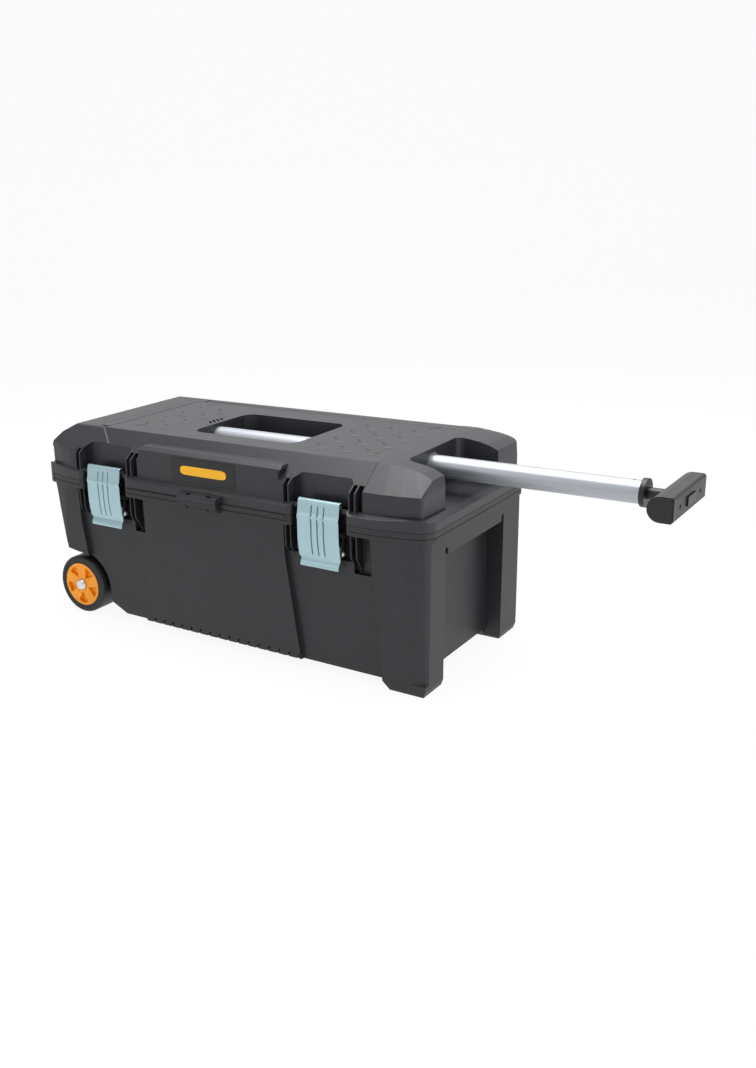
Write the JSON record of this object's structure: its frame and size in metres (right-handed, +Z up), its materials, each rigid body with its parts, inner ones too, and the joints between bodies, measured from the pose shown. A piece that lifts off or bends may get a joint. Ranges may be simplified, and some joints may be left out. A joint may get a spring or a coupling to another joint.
{
  "type": "rolling tool box",
  "caption": "Rolling tool box: moulded tub on wheels, hinged lid with carry well and telescoping pull handle, steel toggle latches.",
  "frame": {"origin": "on the floor, below the middle of the rim lengthwise and across", "axes": "+X towards the pull handle, -Y towards the latches at the front, +Z up"},
  "size_m": [1.0215, 0.3565, 0.3225],
  "materials": {
    "tub_plastic": "fine-grained charcoal moulded plastic",
    "lid_plastic": "fine-grained charcoal moulded plastic",
    "deck_plastic": "charcoal plastic with raised tread lozenges",
    "liner_plastic": "smooth charcoal plastic",
    "black_plastic": "black moulded plastic",
    "seal": "black foam rubber",
    "steel": "zinc-plated steel",
    "bright_steel": "bright plated steel",
    "latch_zinc": "pressed steel with clear blue-white zinc plating",
    "toggle_steel": "black coated steel",
    "badge": "blank satin black plate",
    "tube": "satin anodised aluminium",
    "tyre": "hard black tread",
    "hub_yellow": "semi-gloss yellow plastic",
    "nylon": "natural nylon",
    "grip": "soft-touch dark grey plastic"
  },
  "bodies": {
    "tub": {"tub": "tub_plastic", "rim_seal": "seal", "axle": "steel", "axle_caps": "bright_steel", "axle_washers": "steel", "hinge_pins": "steel", "left_latch_pivot_pin": "steel", "right_latch_pivot_pin": "steel"},
    "lid": {"lid_shell": "lid_plastic", "lid_liner": "liner_plastic", "deck_panel": "deck_plastic", "end_cap": "lid_plastic", "badge_plate": "badge", "carry_tube": "tube", "tube_end_plug": "black_plastic", "guide_bush": "black_plastic", "liner_screws": "steel", "deck_screws": "steel", "end_cap_screws": "steel"},
    "handle": {"sliding_tube": "tube", "slide_bush": "black_plastic", "tube_collar": "black_plastic", "handle_neck": "black_plastic", "grip_shell": "grip", "grip_cover": "grip", "grip_cap_front": "black_plastic", "grip_cap_rear": "black_plastic", "grip_screws": "steel", "lock_carrier": "black_plastic", "button_spring": "steel", "tube_rivet": "steel"},
    "button": {"release_button": "black_plastic", "release_rod": "steel"},
    "lock": {"lock_pin": "steel"},
    "left_toggle": {"left_latch_toggle": "toggle_steel", "left_latch_rivet": "bright_steel"},
    "left_plate": {"left_latch_plate": "latch_zinc"},
    "right_toggle": {"right_latch_toggle": "toggle_steel", "right_latch_rivet": "bright_steel"},
    "right_plate": {"right_latch_plate": "latch_zinc"},
    "front_wheel": {"front_tyre": "tyre", "front_hub": "hub_yellow", "front_wheel_bush": "nylon"},
    "rear_wheel": {"rear_tyre": "tyre", "rear_hub": "hub_yellow", "rear_wheel_bush": "nylon"}
  },
  "joints": [
    {"name": "lid_hinge", "type": "hinge", "parent": "tub", "child": "lid", "pos_m": [0, 0.1755, 0.24], "axis": [-1, 0, 0], "range_deg": [0, 100]},
    {"name": "handle_slide", "type": "slide", "parent": "lid", "child": "handle", "axis": [1, 0, 0], "range_m": [-0.292, 0]},
    {"name": "button_press", "type": "slide", "parent": "handle", "child": "button", "axis": [-1, 0, 0], "range_m": [0, 0.004], "stiffness_N_per_m": 400},
    {"name": "lock_slide", "type": "slide", "parent": "handle", "child": "lock", "axis": [0, 0, 1], "range_m": [0, 0.004]},
    {"name": "left_toggle_hinge", "type": "hinge", "parent": "tub", "child": "left_toggle", "pos_m": [-0.225, -0.147, 0.217], "axis": [-1, 0, 0], "range_deg": [0, 100]},
    {"name": "left_plate_hinge", "type": "hinge", "parent": "left_toggle", "child": "left_plate", "pos_m": [-0.225, -0.153, 0.193], "axis": [1, 0, 0], "range_deg": [0, 90]},
    {"name": "right_toggle_hinge", "type": "hinge", "parent": "tub", "child": "right_toggle", "pos_m": [0.188, -0.147, 0.217], "axis": [-1, 0, 0], "range_deg": [0, 100]},
    {"name": "right_plate_hinge", "type": "hinge", "parent": "right_toggle", "child": "right_plate", "pos_m": [0.188, -0.153, 0.193], "axis": [1, 0, 0], "range_deg": [0, 90]},
    {"name": "front_wheel_spin", "type": "hinge", "parent": "tub", "child": "front_wheel", "pos_m": [-0.303, 0, 0.0495], "axis": [0, 1, 0], "continuous": true},
    {"name": "rear_wheel_spin", "type": "hinge", "parent": "tub", "child": "rear_wheel", "pos_m": [-0.303, 0, 0.0495], "axis": [0, 1, 0], "continuous": true}
  ],
  "couplings": [
    {"joint": "lock_slide", "follows": "button_press", "ratio": 1},
    {"joint": "left_plate_hinge", "follows": "left_toggle_hinge", "ratio": 0.9},
    {"joint": "right_plate_hinge", "follows": "right_toggle_hinge", "ratio": 0.9}
  ]
}
